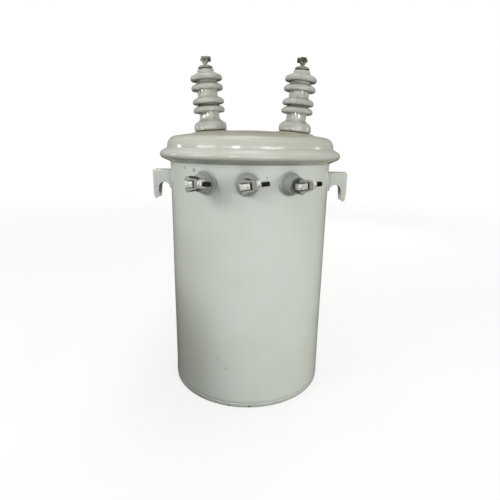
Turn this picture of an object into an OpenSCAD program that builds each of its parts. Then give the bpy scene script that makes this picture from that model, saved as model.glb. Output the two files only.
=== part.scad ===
// Single phase distribution transformer for a pole: round oil tank, domed cover held by a rolled
// clamp band, two high voltage bushings on the cover and three low voltage bushings on the front.
// Millimetres, +Z up. The origin is on the tank's axis at floor level, the low voltage side faces -Y.

/* [Tank] */
// Outside diameter of the tank
tank_d = 470; // [380:1:580]
// Height of the tank's upper rim above the floor
tank_h = 704; // [580:1:860]
// Thickness of the tank, cover and rim sheet
sheet_t = 3; // [2:0.5:5]
// Thickness of the bottom plate
bottom_t = 4; // [3:0.5:8]
// Height of the bottom plate's underside above the floor
bottom_recess = 12; // [6:1:25]
// How far the tank's rim and the cover's rim reach out from the tank
rim_reach = 20; // [14:1:30]

/* [Cover] */
// Step from the tank's outside to the cover's outside
cover_step = 8; // [5:1:12]
// Height of the cover's straight side above the rim
cover_side_h = 23; // [18:1:40]
// Outside radius of the cover's rounded shoulder
shoulder_r = 28; // [16:1:40]
// Slope of the dome where it meets the shoulder, degrees
dome_slope = 9.5; // [6:0.5:14]

/* [Clamp band] */
// Sheet thickness of the band
band_t = 2.5; // [1.5:0.5:4]
// Radius of the band's rounded nose
band_nose_r = 12; // [9:1:16]
// Slope of the band's upper flank, degrees
band_top_slope = 29; // [22:1:34]
// Slope of the band's lower flank, degrees
band_low_slope = 24; // [18:1:30]
// Gap between the band's two ends at the rear
band_split = 12; // [8:1:20]
// Diameter of the bolt that draws the band closed
band_bolt_d = 10; // [8:1:12]

/* [Lifting lugs] */
// Depth of the lug's top below the tank's rim
lug_drop = 46; // [36:1:90]
// How far the lug reaches out from the tank
lug_reach = 56; // [45:1:75]
// Height of the lug from its tip to its top
lug_h = 86; // [75:1:110]
// Width of the lug across its two cheeks
lug_w = 44; // [34:1:60]
// Sheet thickness of the lug
lug_t = 5; // [4:0.5:8]
// Radius of the arch that holds the sling
arch_r = 17; // [14:1:20]

/* [Pole hangers] */
// Depth of the upper hanger's slot below the tank's rim
hanger_drop = 150; // [120:1:190]
// Distance between the two hangers' slots
hanger_spacing = 286; // [230:1:330]
// Width of a hanger across its cheeks
hanger_w = 96; // [80:1:120]
// Height of a hanger
hanger_h = 78; // [64:1:96]
// Distance from the tank's rear to the hanger's face
hanger_reach = 64; // [50:1:80]
// Sheet thickness of a hanger
hanger_t = 6; // [4:0.5:8]
// Width of the slot for the through bolt
slot_w = 18; // [14:1:24]
// Length of the slot, end to end
slot_l = 32; // [26:1:44]

/* [Low voltage bushings] */
// Depth of the bushings' axes below the tank's rim
lv_drop = 65.5; // [60:0.5:100]
// Spacing of the bushings along the tank wall
lv_spacing = 111; // [90:1:140]
// Diameter of the gasket ring
lv_gasket_d = 63; // [56:1:70]
// Thickness of the gasket ring at its crown
lv_gasket_t = 4; // [3:0.5:6]
// Diameter of the porcelain's foot
lv_foot_d = 58; // [52:1:62]
// Diameter of the porcelain's body
lv_body_d = 44; // [38:1:48]
// Distance from the tank to the porcelain's front face
lv_front = 33; // [28:1:44]
// Diameter of the neck that carries the clamp
lv_neck_d = 27; // [22:1:32]
// Distance from the tank to the clamp screw's axis
lv_screw_out = 57; // [54:1:66]
// Height of the clamp yoke
yoke_h = 38; // [34:1:44]
// Length of the clamp yoke along its screw
yoke_l = 37; // [32:1:42]
// Depth of the clamp yoke
yoke_w = 20; // [16:1:26]
// Thickness of the yoke's closed end
yoke_end_t = 11; // [8:0.5:13]
// How much lower the yoke is behind its flared tips, on each side
yoke_waist = 4.5; // [0:0.5:5]
// How much lower the yoke is at its closed end, on each side
yoke_taper = 8.5; // [4:0.5:9]
// Diameter of the round hub at the yoke's back
yoke_hub_d = 36; // [30:1:40]
// Turn of each clamp on its bushing from left to right, degrees
lv_turn = [3, 8, 5]; // [-15:1:15]
// Height of the pressure pad
pad_h = 16.5; // [12:0.5:18]
// Length of the pressure pad
pad_l = 24; // [18:1:26]
// Diameter of the clamp screw
lv_screw_d = 12; // [10:1:14]
// Length of thread beyond the nut
lv_screw_end = 20; // [12:1:26]

/* [High voltage bushings] */
// Distance between the bushings' feet
hv_spacing = 246; // [210:1:290]
// Sideways offset of the pair of bushings from the tank's axis
hv_offset = 6; // [-10:0.5:10]
// Outward lean of each bushing, degrees
hv_lean = 4.8; // [0:0.1:8]
// Diameter of the porcelain's foot
hv_foot_d = 95; // [86:1:104]
// Diameter of the porcelain's barrel
hv_barrel_d = 57; // [50:1:66]
// Diameter of the sheds
hv_shed_d = 91; // [84:1:100]
// Radius of a shed's rounded rim
hv_rim_r = 7; // [5:0.5:8]
// Height of the porcelain
hv_body_h = 166; // [156:1:190]
// Diameter of the gasket under the foot
hv_gasket_d = 88; // [78:1:94]
// Thickness of the gasket under the foot
hv_gasket_t = 3; // [2:0.5:5]
// Diameter of the metal cap
hv_cap_d = 41; // [34:1:46]
// Diameter of the terminal's stud
hv_stud_d = 10; // [8:1:14]
// Diameter of the terminal's clamp screw
hv_screw_d = 8; // [6:1:10]

/* [Hidden] */
$fn = 96;
round_fn = 360;       // facets in a preview of the tank's rounds
fit = 0.2;            // clearance between pieces that are welded or clamped together
run = 0.3;            // clearance round a piece that slides or turns
tank_r = tank_d / 2;
rim_r = tank_r + rim_reach;
cover_r = tank_r + cover_step;
shoulder_z = tank_h + cover_side_h;
shoulder_x = cover_r - shoulder_r;
dome_x = shoulder_x + shoulder_r * sin(dome_slope);
dome_r = dome_x / sin(dome_slope);
dome_top = shoulder_z + shoulder_r * cos(dome_slope) + dome_r * (1 - cos(dome_slope));
dome_centre = dome_top - dome_r;
crown = 0.01;         // the dome's crown is cut flat by this much

band_nose_x = rim_r - 3;                                   // centre of the rounded nose
band_ear_t = 5;
band_ear_h = 30;
band_ear_reach = 30;
band_ear_x = band_nose_x + band_nose_r + band_ear_reach - band_ear_h / 2;

hv_seat_r = hv_foot_d / 2 + 3;
hv_x = hv_spacing / 2;
hv_seat_z = dome_centre + sqrt(pow(dome_r, 2) - pow(hv_x, 2)) + 1.2;
hv_foot_h = 22;
hv_neck_h = 32;
hv_shed_z = [57, 80, 117, 143];                            // height of each shed's rim
hv_body_top = hv_body_h - 22;
hv_cap_h = 11;
hv_eye_z = 16;                                             // clamp screw above the cap
hv_eye_w = 18;
hv_eye_h = 17;
hv_eye_d = 15;

lv_angle = lv_spacing / tank_r * 180 / PI;
lv_z = tank_h - lv_drop;
yoke_gap = pad_h + 2 * run;                                // opening between the yoke's prongs
yoke_right = yoke_l - 13.5;                                // outer face of the yoke's end plate
pad_left = -16;
yoke_back = lv_screw_out - yoke_w / 2;
lv_nut_w = 19;
lv_nut_t = 10.5;

hanger_y = tank_r + hanger_reach;
hanger_zs = [tank_h - hanger_drop - hanger_spacing, tank_h - hanger_drop];

paint = "#c9cfc0";
paint_shade = "#b4baa9";
porcelain = "#a9aca4";
tinned = "#8f9192";
steel = "#d6d6d2";
dark_steel = "#2c2a28";
rubber = "#3a3a36";

// ---- Placing ----

// A low voltage bushing is drawn at the front; side is -1, 0 or 1 from left to right.
module at_lv(side) rotate([0, 0, side * lv_angle]) translate([0, 0, lv_z]) children();

// Its clamp is turned a little about the bushing's own axis.
module at_clamp(side) at_lv(side) rotate([0, -lv_turn[side + 1], 0]) children();

// A profile drawn as (radius, distance from the tank's axis) is turned about the bushing's axis.
module turned_lv() rotate([90, 0, 0]) rotate_extrude() children();

// A high voltage bushing is drawn upright on its seat, then leans outwards.
module at_hv(side) translate([side * hv_x + hv_offset, 0, hv_seat_z]) rotate([0, side * hv_lean, 0]) children();

// What stands on a side's mirror image is drawn for the right.
module on_side(side) mirror([side < 0 ? 1 : 0, 0, 0]) children();

// Bolt hardware along +Z
module hex(across, h) cylinder(h = h, d = across / cos(30), $fn = 6);

// ---- Tank ----

module tank_wall() color(paint) difference() {
    cylinder(h = tank_h, r = tank_r, $fn = round_fn);
    translate([0, 0, -1]) cylinder(h = tank_h + 2, r = tank_r - sheet_t, $fn = round_fn);
}

// Flat ring round the top of the wall, on which the cover's rim lies
module tank_rim() color(paint) translate([0, 0, tank_h - sheet_t]) difference() {
    cylinder(h = sheet_t, r = rim_r, $fn = round_fn);
    translate([0, 0, -1]) cylinder(h = sheet_t + 2, r = tank_r + fit, $fn = round_fn);
}

module tank_bottom() color(paint_shade)
    translate([0, 0, bottom_recess]) 
        cylinder(h = bottom_t, r = tank_r - sheet_t - fit, $fn = round_fn);

// The active part and the oil, closed in and unseen
module core_and_oil() color("#6b5a3c")
    translate([0, 0, bottom_recess + bottom_t])
        cylinder(h = tank_h - bottom_recess - bottom_t - 6, r = tank_r - sheet_t - 2 * fit, $fn = round_fn);

// ---- Cover ----

// Filled outline of the cover, drawn inset from its outside by the given amount
module cover_outline(inset) {
    square([cover_r - inset, shoulder_z]);
    translate([shoulder_x, shoulder_z]) circle(r = shoulder_r - inset);
    intersection() {
        translate([0, dome_centre]) circle(r = dome_r - inset, $fn = round_fn);
        square([cover_r, dome_top - crown - inset]);
        polygon([[0, 0], [shoulder_x, 0], [shoulder_x, shoulder_z],
                 [shoulder_x + 2 * shoulder_r * sin(dome_slope),
                  shoulder_z + 2 * shoulder_r * cos(dome_slope)],
                 [0, dome_top + shoulder_r]]);
    }
}

module cover() color(paint) {
    difference() {
        union() {
            rotate_extrude($fn = round_fn) intersection() {
                union() {
                    cover_outline(0);
                    translate([0, tank_h]) square([rim_r, sheet_t]);
                }
                translate([0, tank_h]) square([rim_r + 1, dome_top]);
            }
            for (side = [-1, 1]) at_hv(side) translate([0, 0, -8]) cylinder(h = 8, r = hv_seat_r);
        }
        rotate_extrude($fn = round_fn) intersection() {
            cover_outline(sheet_t);
            translate([0, tank_h - 1]) square([rim_r, dome_top]);
        }
    }
}

// ---- Clamp band ----

// Filled section of the band beyond its own inner edge, drawn inset from its outside
module band_outline(inset) {
    r = band_nose_r - inset;
    top_in = cover_r + fit;
    low_in = tank_r + fit;
    tx = band_nose_x + r * sin(band_top_slope);
    tz = tank_h + r * cos(band_top_slope);
    lx = band_nose_x + r * sin(band_low_slope);
    lz = tank_h - r * cos(band_low_slope);
    translate([band_nose_x, tank_h]) intersection() {
        circle(r = r);
        translate([0, -r]) square([r, 2 * r]);
    }
    polygon([[tx, tz], [top_in, tz + (tx - top_in) * tan(band_top_slope)],
             [top_in, tank_h], [low_in, tank_h],
             [low_in, lz - (lx - low_in) * tan(band_low_slope)], [lx, lz],
             [band_nose_x, tank_h]]);
}

module clamp_band() color(paint) difference() {
    union() {
        difference() {
            rotate_extrude($fn = round_fn) difference() {
                band_outline(0);
                band_outline(band_t);
                translate([0, tank_h - sheet_t - fit]) square([rim_r + fit, 2 * (sheet_t + fit)]);
            }
            translate([-band_split / 2, 0, 0]) cube([band_split, rim_r + 40, 2 * tank_h]);
        }
        for (side = [-1, 1])
            translate([side * (band_split + band_ear_t) / 2 - band_ear_t / 2, 0, 0]) band_ear();
    }
    translate([-band_split - band_ear_t, band_ear_x, tank_h]) rotate([0, 90, 0])
        cylinder(h = 2 * (band_split + band_ear_t), d = band_bolt_d + 2 * run);
}

// An ear's outline is drawn as (y, z) and closes the band's end
module band_ear() rotate([90, 0, 90]) linear_extrude(band_ear_t) difference() {
    union() {
        translate([band_nose_x, tank_h - band_ear_h / 2]) square([band_ear_x - band_nose_x, band_ear_h]);
        translate([band_ear_x, tank_h]) circle(d = band_ear_h);
    }
    translate([0, tank_h - sheet_t - fit]) square([rim_r + fit, 2 * (sheet_t + fit)]);
}

module band_bolt() color(steel)
    translate([-band_split / 2 - band_ear_t, band_ear_x, tank_h]) rotate([0, 90, 0]) {
        translate([0, 0, -7]) hex(17, 7);
        translate([0, 0, -1]) cylinder(h = band_split + 2 * band_ear_t + 21, d = band_bolt_d);
    }

module band_nut() color(steel)
    translate([band_split / 2 + band_ear_t, band_ear_x, tank_h]) rotate([0, 90, 0]) difference() {
        hex(17, 9);
        translate([0, 0, -1]) cylinder(h = 11, d = band_bolt_d + 2 * fit);
    }

// ---- Lifting lugs ----

// Outline of a lug's cheek as (distance from the axis, height above the lug's tip)
module lug_outline() {
    out = tank_r + lug_reach;
    arch_x = tank_r + 22;
    arch_z = 32;
    tip_r = 4.5;
    tip_x = out - 9.5;
    flare_z = 18;         // below this the outer edge runs in to the tip
    difference() {
        union() {
            polygon([[tank_r - 30, lug_h], [out, lug_h], [out, flare_z], [tip_x + tip_r, tip_r],
                     [tip_x - tip_r, tip_r], [tank_r - 30, arch_z]]);
            translate([tip_x, tip_r]) circle(r = tip_r);
        }
        translate([arch_x, arch_z]) circle(r = arch_r);
        polygon([[arch_x + arch_r, arch_z], [tip_x - tip_r, tip_r], [tip_x - tip_r - 1, -1],
                 [tank_r - 40, -1], [tank_r - 40, arch_z]]);
    }
}

module lug_plate(t) rotate([90, 0, 0]) translate([0, 0, -t / 2]) linear_extrude(t) children();

module lifting_lug() color(paint) difference() {
    translate([0, 0, tank_h - lug_drop - lug_h]) {
        for (side = [-1, 1]) translate([0, side * (lug_w - lug_t) / 2, 0]) lug_plate(lug_t) lug_outline();
        lug_plate(lug_w) intersection() {
            lug_outline();
            union() {
                translate([0, lug_h - lug_t]) square([tank_r + lug_reach, lug_t]);
                translate([tank_r + lug_reach - lug_t, 15]) square([lug_t, lug_h - 15]);
            }
        }
    }
    translate([0, 0, -1]) cylinder(h = tank_h, r = tank_r + fit, $fn = round_fn);
}

// ---- Pole hangers ----

module hanger(z) color(paint) translate([0, 0, z]) difference() {
    translate([-hanger_w / 2, 0, -hanger_h / 2]) cube([hanger_w, hanger_y, hanger_h]);
    translate([-hanger_w / 2 + hanger_t, 0, -hanger_h])
        cube([hanger_w - 2 * hanger_t, hanger_y - hanger_t, 2 * hanger_h]);
    for (end = [-1, 1]) translate([0, hanger_y + 1, end * (slot_l - slot_w) / 2])
        rotate([90, 0, 0]) cylinder(h = hanger_t + 2, d = slot_w);
    translate([-slot_w / 2, hanger_y - hanger_t - 1, -(slot_l - slot_w) / 2])
        cube([slot_w, hanger_t + 2, slot_l - slot_w]);
    translate([0, 0, -hanger_h]) cylinder(h = 2 * hanger_h, r = tank_r + fit, $fn = round_fn);
}

// ---- Low voltage bushings ----

module lv_gasket(side) color(rubber) at_lv(side) difference() {
    rotate([90, 0, 0]) translate([0, 0, tank_r - 8]) cylinder(h = 8 + lv_gasket_t, d = lv_gasket_d);
    translate([0, 0, -lv_gasket_d]) cylinder(h = 2 * lv_gasket_d, r = tank_r + fit, $fn = round_fn);
}

module lv_porcelain(side) color(porcelain) at_lv(side) turned_lv() translate([0, tank_r + lv_gasket_t]) {
    front = lv_front - lv_gasket_t;
    square([lv_foot_d / 2, 6]);
    square([lv_foot_d / 2 - 3.5, 9]);
    square([lv_body_d / 2 + 4, 15]);
    square([lv_body_d / 2, front - 2]);
    square([lv_body_d / 2 - 2, front]);
    translate([lv_body_d / 2 - 2, front - 2]) circle(r = 2);
}

// The yoke's outline is drawn as (along the screw, height) and is wider at its open end
module yoke_outline() difference() {
    tip_x = yoke_right - yoke_l;
    half = yoke_h / 2;
    waist = half - yoke_waist;
    end = half - yoke_taper;
    polygon([[tip_x, half - 3], [tip_x + 2.5, half], [tip_x + 11, half], [tip_x + 15, waist],
             [yoke_right - 3, end + 1], [yoke_right, end - 1],
             [yoke_right, 1 - end], [yoke_right - 3, -end - 1],
             [tip_x + 15, -waist], [tip_x + 11, -half], [tip_x + 2.5, -half], [tip_x, 3 - half]]);
    translate([tip_x - 1, -yoke_gap / 2]) square([yoke_l - yoke_end_t + 1, yoke_gap]);
}

module lv_yoke(side) color(tinned) at_clamp(side) difference() {
    union() {
        translate([0, -tank_r - yoke_back, 0]) rotate([90, 0, 0]) linear_extrude(yoke_w) yoke_outline();
        turned_lv() translate([0, tank_r + lv_front]) {
            square([lv_neck_d / 2, yoke_back - lv_front + 1]);
            translate([0, yoke_back - lv_front - 6]) square([yoke_hub_d / 2, 7]);
        }
    }
    translate([0, -tank_r - lv_screw_out, 0]) rotate([0, 90, 0])
        cylinder(h = yoke_l, d = lv_screw_d + 2 * run);
}

module lv_pad(side) color(steel) at_clamp(side)
    translate([pad_left, -tank_r - yoke_back - yoke_w - 1, -pad_h / 2]) cube([pad_l, yoke_w - 1, pad_h]);

module lv_screw(side) color(dark_steel) at_clamp(side)
    translate([pad_left + pad_l, -tank_r - lv_screw_out, 0]) rotate([0, 90, 0])
        cylinder(h = yoke_right + lv_nut_t + lv_screw_end - pad_left - pad_l, d = lv_screw_d);

module lv_nut(side) color(steel) at_clamp(side)
    translate([yoke_right, -tank_r - lv_screw_out, 0]) rotate([0, 90, 0]) difference() {
        union() {
            cylinder(h = 2, d = lv_nut_w + 3);
            hex(lv_nut_w, lv_nut_t);
        }
        translate([0, 0, -1]) cylinder(h = lv_nut_t + 2, d = lv_screw_d + 2 * fit);
    }

// ---- High voltage bushings ----

module hv_gasket(side) color(rubber) at_hv(side) cylinder(h = hv_gasket_t, d = hv_gasket_d);

// Half outline of a shed: a rounded rim joined to the barrel by a sloping back and an undercut
module shed(z) {
    rim_x = hv_shed_d / 2 - hv_rim_r;
    root_x = hv_barrel_d / 2 - 4;
    translate([rim_x, z]) circle(r = hv_rim_r);
    polygon([[root_x, z - 4], [rim_x, z - hv_rim_r], [rim_x, z + hv_rim_r], [root_x, z + hv_rim_r + 5]]);
}

module hv_porcelain(side) color(porcelain) at_hv(side) translate([0, 0, hv_gasket_t]) rotate_extrude() {
    foot_r = hv_foot_d / 2;
    barrel_r = hv_barrel_d / 2;
    top_r = hv_cap_d / 2 + 3;
    polygon([[0, 0], [foot_r - 2, 0], [foot_r, 3], [foot_r, hv_foot_h - 4], [foot_r - 4, hv_foot_h],
             [barrel_r + 2, hv_neck_h - 3], [barrel_r, hv_neck_h], [barrel_r, hv_body_top],
             [top_r, hv_body_h - 6], [top_r, hv_body_h - 1], [top_r - 1, hv_body_h], [0, hv_body_h]]);
    for (z = hv_shed_z) shed(z);
    polygon([[0, hv_body_top], [hv_shed_d / 2 - hv_rim_r, hv_shed_z[3] + hv_rim_r], [top_r, hv_body_h - 6],
             [0, hv_body_h - 6]]);
}

module at_cap(side) at_hv(side) translate([0, 0, hv_gasket_t + hv_body_h]) children();

module hv_cap(side) color(tinned) at_cap(side) difference() {
    rotate_extrude() {
        square([hv_cap_d / 2 - 5, hv_cap_h]);
        translate([0, 3]) square([hv_cap_d / 2, hv_cap_h - 5]);
    }
    translate([0, 0, -1]) cylinder(h = hv_cap_h + 2, d = hv_stud_d + 2 * fit);
}

module hv_terminal(side) color(dark_steel) at_cap(side) difference() {
    union() {
        cylinder(h = hv_cap_h + hv_eye_z, d = hv_stud_d);
        translate([-hv_eye_w / 2, -hv_eye_d / 2, hv_cap_h + hv_eye_z - hv_eye_h / 2])
            cube([hv_eye_w, hv_eye_d, hv_eye_h]);
    }
    translate([-hv_eye_w, 0, hv_cap_h + hv_eye_z]) rotate([0, 90, 0])
        cylinder(h = 2 * hv_eye_w, d = hv_screw_d + 2 * fit);
}

module hv_screw(side) color(steel) at_cap(side) translate([0, 0, hv_cap_h + hv_eye_z]) on_side(side)
    rotate([0, 90, 0]) {
        translate([0, 0, -hv_eye_w / 2 - 8]) hex(13, 8);
        translate([0, 0, -hv_eye_w / 2 - 1]) cylinder(h = hv_eye_w + 5, d = hv_screw_d);
    }

// ---- Nodes ----

tank_wall();
tank_rim();
tank_bottom();
core_and_oil();
cover();
clamp_band();
band_bolt();
band_nut();
mirror([1, 0, 0]) lifting_lug();  // lifting_lug_left
lifting_lug();  // lifting_lug_right
hanger(hanger_zs[0]);  // hanger_lower
hanger(hanger_zs[1]);  // hanger_upper
lv_gasket(-1);  // lv_gasket_left
lv_gasket(0);  // lv_gasket_middle
lv_gasket(1);  // lv_gasket_right
lv_porcelain(-1);  // lv_porcelain_left
lv_porcelain(0);  // lv_porcelain_middle
lv_porcelain(1);  // lv_porcelain_right
lv_yoke(-1);  // lv_yoke_left
lv_yoke(0);  // lv_yoke_middle
lv_yoke(1);  // lv_yoke_right
lv_pad(-1);  // lv_pad_left
lv_pad(0);  // lv_pad_middle
lv_pad(1);  // lv_pad_right
lv_screw(-1);  // lv_screw_left
lv_screw(0);  // lv_screw_middle
lv_screw(1);  // lv_screw_right
lv_nut(-1);  // lv_nut_left
lv_nut(0);  // lv_nut_middle
lv_nut(1);  // lv_nut_right
hv_gasket(-1);  // hv_gasket_left
hv_gasket(1);  // hv_gasket_right
hv_porcelain(-1);  // hv_porcelain_left
hv_porcelain(1);  // hv_porcelain_right
hv_cap(-1);  // hv_cap_left
hv_cap(1);  // hv_cap_right
hv_terminal(-1);  // hv_terminal_left
hv_terminal(1);  // hv_terminal_right
hv_screw(-1);  // hv_screw_left
hv_screw(1);  // hv_screw_right
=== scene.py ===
"""Pole mounted transformer: its looks, built in the frame of its packed design."""

import math

import bmesh
import bpy
from mathutils import Matrix, Vector, noise


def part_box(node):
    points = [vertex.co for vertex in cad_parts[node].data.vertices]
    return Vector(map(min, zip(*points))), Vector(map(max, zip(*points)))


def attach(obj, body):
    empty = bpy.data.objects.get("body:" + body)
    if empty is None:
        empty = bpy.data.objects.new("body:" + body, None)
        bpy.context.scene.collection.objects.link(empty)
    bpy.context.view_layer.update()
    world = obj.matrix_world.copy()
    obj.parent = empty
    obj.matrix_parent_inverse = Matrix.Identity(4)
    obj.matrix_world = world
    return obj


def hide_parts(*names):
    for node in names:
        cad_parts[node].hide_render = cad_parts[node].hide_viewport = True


bl_info = {
    "name": "Pole Mounted Transformer",
    "version": (1, 0, 0),
    "blender": (4, 5, 0),
    "location": "View3D > Sidebar > Transformer",
    "description": "Builds a single phase pole mounted transformer and its studio",
    "category": "Object",
}

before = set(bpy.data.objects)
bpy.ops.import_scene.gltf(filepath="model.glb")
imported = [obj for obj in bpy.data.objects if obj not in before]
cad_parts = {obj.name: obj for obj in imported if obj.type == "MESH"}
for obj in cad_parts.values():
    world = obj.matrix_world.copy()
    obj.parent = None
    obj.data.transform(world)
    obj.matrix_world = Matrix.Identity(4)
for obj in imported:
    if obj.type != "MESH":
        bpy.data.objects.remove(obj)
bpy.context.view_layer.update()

MM = 0.001
BODY = "root"
SIDES = {"left": -1, "middle": 0, "right": 1}
PAIR = {"left": -1, "right": 1}


# ---- Reading the frame ----


def low_high(node):
    """A node's lowest and highest corners, in millimetres."""
    low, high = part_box(node)
    return low / MM, high / MM


def middle(node):
    """The middle of a node's box."""
    low, high = low_high(node)
    return (low + high) / 2


def width(node):
    """A node's size from left to right."""
    low, high = low_high(node)
    return high.x - low.x


def disc_radius(node):
    """Radius of a round node that leans sideways, which leaves its depth as it is."""
    low, high = low_high(node)
    return (high.y - low.y) / 2


TANK_R = width("tank_wall") / 2
TANK_TOP = low_high("tank_wall")[1].z
RIM_R = width("tank_rim") / 2
LV_Z = middle("lv_porcelain_middle").z
LV_FRONT = -low_high("lv_porcelain_middle")[0].y

# Heights above a tall bushing's seat, and the seam's place round the tank in degrees.
HV_SHEDS = (57, 80, 117, 143)
HV_TOP = 166
SEAM_HEADING = 52

# Threads and nuts of the small fasteners: diameter and pitch, then width across the flats and height.
BAND_THREAD, BAND_HEAD, BAND_NUT = (10, 1.5), (17, 7), (17, 9)
TERMINAL_THREAD, TERMINAL_HEAD = (8, 1.25), (13, 8)

# Points of a mesh that lie nearer than this are one point; a folded sheet's edges are found and joined
# within a wider distance.
MERGE = 0.002
NEAR = 0.01

# Marks on the tank's enamel: place, radius, raggedness and strength. The last two are painted shadow, dark
# spots at the tank's foot where it stands on the floor.
MARKS_AND_SHADOWS = (
    (-75, -222, 150, 9, 14, 0.10),
    (-52, -230, 122, 6, 9, 0.16),
    (-167, -165, LV_Z + 33, 5, 7, 0.4),
    (-139, -190, LV_Z + 29, 6, 8, 0.4),
    (47, -230, LV_Z + 16, 2.6, 2, 0.5),
    (166, -166, LV_Z + 52, 3, 2, 0.9),
    (-45, -231, 1, 5.5, 4, 0.95),
    (15, -235, 1, 5.5, 4, 0.95),
)


# ---- Sizes and colours that a user would change ----


def length(name, text, default_mm, low_mm, high_mm):
    """A length that a user may change, stated in millimetres."""
    return bpy.props.FloatProperty(
        name=name, description=text, default=default_mm * MM, min=low_mm * MM, max=high_mm * MM,
        unit="LENGTH", precision=4,
    )


def angle(name, text, default_deg, low_deg, high_deg):
    """An angle that a user may change, stated in degrees."""
    return bpy.props.FloatProperty(
        name=name, description=text, default=math.radians(default_deg), min=math.radians(low_deg),
        max=math.radians(high_deg), unit="ROTATION", subtype="ANGLE",
    )


def amount(name, text, default, **more):
    """A plain number that a user may change."""
    return bpy.props.FloatProperty(name=name, description=text, default=default, **more)


def linear(red, green, blue):
    """Scene colour of a display colour given as 0 to 255."""
    parts = (red / 255, green / 255, blue / 255)
    return tuple(v / 12.92 if v <= 0.04045 else ((v + 0.055) / 1.055) ** 2.4 for v in parts)


def tint(name, text, display):
    """A colour that a user may change, stated as a display colour."""
    return bpy.props.FloatVectorProperty(
        name=name, description=text, default=linear(*display), min=0, max=1, size=3, subtype="COLOR"
    )


class TRANSFORMER_PG_tank(bpy.types.PropertyGroup):
    sheet: length("Sheet", "Thickness of the tank's sheet", 3, 2, 5)
    hem_z: length("Bottom weld height", "Height of the weld line round the tank's foot", 9.8, 6, 20)
    hem: length("Bottom weld", "How far the weld line stands out", 0.9, 0.2, 2)
    sag: length("Unevenness", "How far the rolled sheet wanders from a true round", 0.7, 0, 2)
    bead: length("Weld bead", "Radius of the weld beads", 2.4, 1, 4)
    ripple: length("Weld ripple", "Distance between two ripples of a bead", 3.2, 2, 6)


class TRANSFORMER_PG_cover(bpy.types.PropertyGroup):
    step: length("Step", "From the tank's outside to the cover's", 8, 5, 12)
    side_h: length("Side", "Height of the cover's straight side", 23, 18, 40)
    shoulder: length("Shoulder", "Radius of the cover's shoulder", 28, 16, 40)
    slope: angle("Dome slope", "Slope of the dome where it meets the shoulder", 9.5, 6, 14)
    sag: length("Unevenness", "How far the pressing wanders", 0.35, 0, 1)


class TRANSFORMER_PG_band(bpy.types.PropertyGroup):
    sheet: length("Sheet", "Thickness of the band", 2.5, 1.5, 4)
    nose: length("Nose", "Radius of the rounded nose", 12, 9, 16)
    top_slope: angle("Upper flank", "Slope of the upper flank", 29, 22, 34)
    low_slope: angle("Lower flank", "Slope of the lower flank", 24, 18, 30)
    split: length("Split", "Gap between the band's ends", 12, 8, 20)
    ear: length("Ear", "Thickness of an ear", 5, 4, 8)


class TRANSFORMER_PG_lug(bpy.types.PropertyGroup):
    sheet: length("Sheet", "Thickness of a lug", 5, 4, 8)
    fold: length("Fold", "Outer radius of the folds", 4.5, 2, 14)
    arch: length("Arch", "Radius of the arch that holds the sling", 17, 14, 20)
    hanger_sheet: length("Hanger sheet", "Thickness of a pole hanger", 6, 4, 8)
    hanger_fold: length("Hanger fold", "Outer radius of a hanger's folds", 12, 8, 18)
    slot_w: length("Slot", "Width of a hanger's slot", 18, 14, 24)
    slot_l: length("Slot length", "Length of a hanger's slot", 32, 26, 44)


class TRANSFORMER_PG_lv(bpy.types.PropertyGroup):
    spacing: length("Spacing", "Spacing of the bushings along the tank wall", 111, 90, 140)
    gasket_t: length("Gasket", "Thickness of the gasket ring", 4, 3, 6)
    body_d: length("Body", "Diameter of the porcelain's body", 44, 38, 48)
    neck_d: length("Neck", "Diameter of the neck behind the clamp", 27, 22, 32)
    hub_d: length("Hub", "Diameter of the round hub at the yoke's back", 36, 30, 40)
    yoke_h: length("Yoke height", "Height of the clamp yoke at its tips", 38, 34, 44)
    yoke_l: length("Yoke length", "Length of the clamp yoke along its screw", 37, 32, 42)
    yoke_w: length("Yoke depth", "Depth of the clamp yoke", 20, 16, 26)
    yoke_end: length("Yoke end", "Thickness of the yoke's closed end", 11, 8, 13)
    yoke_waist: length("Yoke waist", "How much lower the yoke is behind its tips", 4.5, 0, 5)
    yoke_taper: length("Yoke taper", "How much lower the yoke's closed end is", 8.5, 4, 9)
    pad_h: length("Pad height", "Height of the pressure pad", 14.5, 12, 18)
    opening: length("Opening", "Height of the yoke's opening", 18, 16, 20)
    pad_l: length("Pad length", "Length of the pressure pad", 24, 18, 26)
    rib: length("Pad rib", "Depth of the pressure pad's ribs", 1.6, 0.5, 2)
    screw_out: length("Screw", "Distance from the tank to the clamp screw's axis", 57, 54, 66)
    screw_d: length("Screw diameter", "Diameter of the clamp screw", 12, 10, 14)
    screw_end: length("Screw end", "Length of thread beyond the nut", 20, 12, 26)
    pitch: length("Thread", "Pitch of the clamp screw's thread", 1.75, 1, 3)
    nut_w: length("Nut", "Width of the nut across its flats", 19, 16, 22)
    nut_t: length("Nut height", "Height of the nut with its washer", 10.5, 8, 14)


class TRANSFORMER_PG_hv(bpy.types.PropertyGroup):
    barrel_d: length("Barrel", "Diameter of the barrel", 57, 50, 66)
    shed_d: length("Sheds", "Diameter of the sheds", 91, 84, 100)
    shed_rim: length("Shed rim", "Radius of a shed's rounded rim", 7, 5, 8)
    seat_margin: length("Seat", "How far the cover's seat reaches past the foot", 3, 1, 6)


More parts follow.
